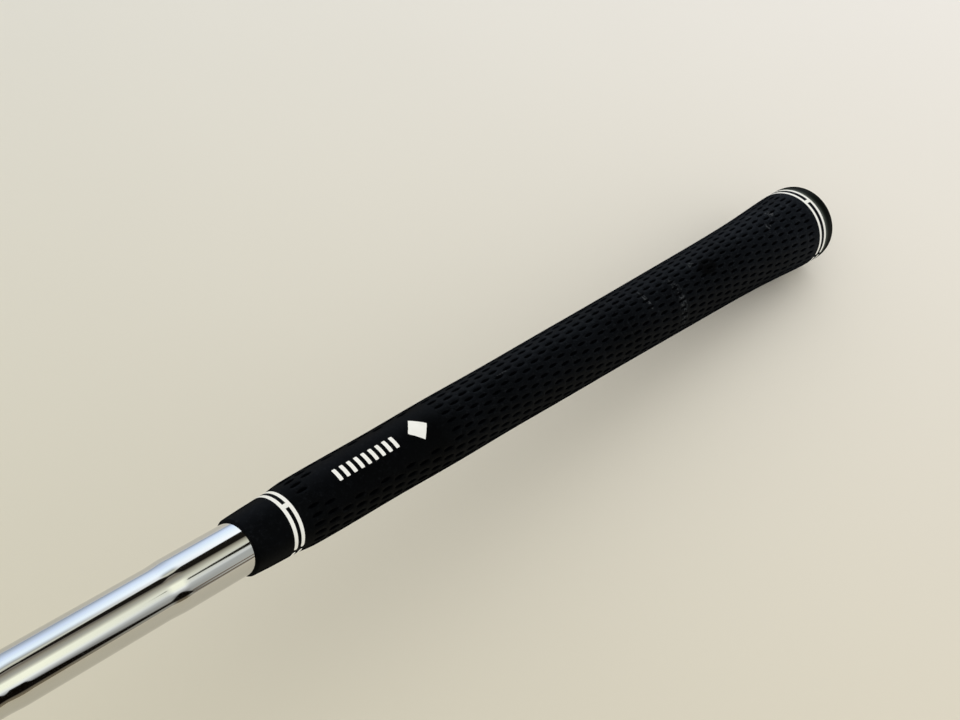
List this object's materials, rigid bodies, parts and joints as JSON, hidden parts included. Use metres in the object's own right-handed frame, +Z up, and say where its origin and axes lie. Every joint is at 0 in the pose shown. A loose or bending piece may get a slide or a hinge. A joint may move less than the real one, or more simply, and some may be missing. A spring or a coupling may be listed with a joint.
{
  "type": "golf grip",
  "caption": "Tapered round rubber golf grip with a dimpled body, rounded butt cap and painted rings, taped on the butt end of a stepped steel shaft.",
  "frame": {"origin": "on the shaft's axis, in the plane of the shaft's sawn end", "axes": "+X along the club from the shaft's sawn end through the grip's mouth to the butt cap, +Z up through the painted mark, +Y to the left when looking from the shaft to the cap"},
  "size_m": [0.354, 0.028, 0.028],
  "materials": {
    "chrome_steel": "bright chrome plate, polished along the tube",
    "grip_rubber": "matte moulded rubber with small lengthwise dimples, a little shiny where it is worn",
    "cap_rubber": "smooth satin moulded rubber",
    "white_paint": "slightly glossy filled paint",
    "tape": "cream crepe paper with adhesive on both faces"
  },
  "bodies": {
    "root": {"shaft_butt": "chrome_steel", "grip_tape": "tape", "grip_sleeve": "grip_rubber", "end_cap": "cap_rubber", "mouth_ring_front_paint": "white_paint", "mouth_ring_rear_paint": "white_paint", "mouth_ring_tick_paint": "white_paint", "cap_ring_front_paint": "white_paint", "cap_ring_rear_paint": "white_paint", "cap_ring_tick_paint": "white_paint", "side_mark_paint": "white_paint"}
  },
  "joints": []
}
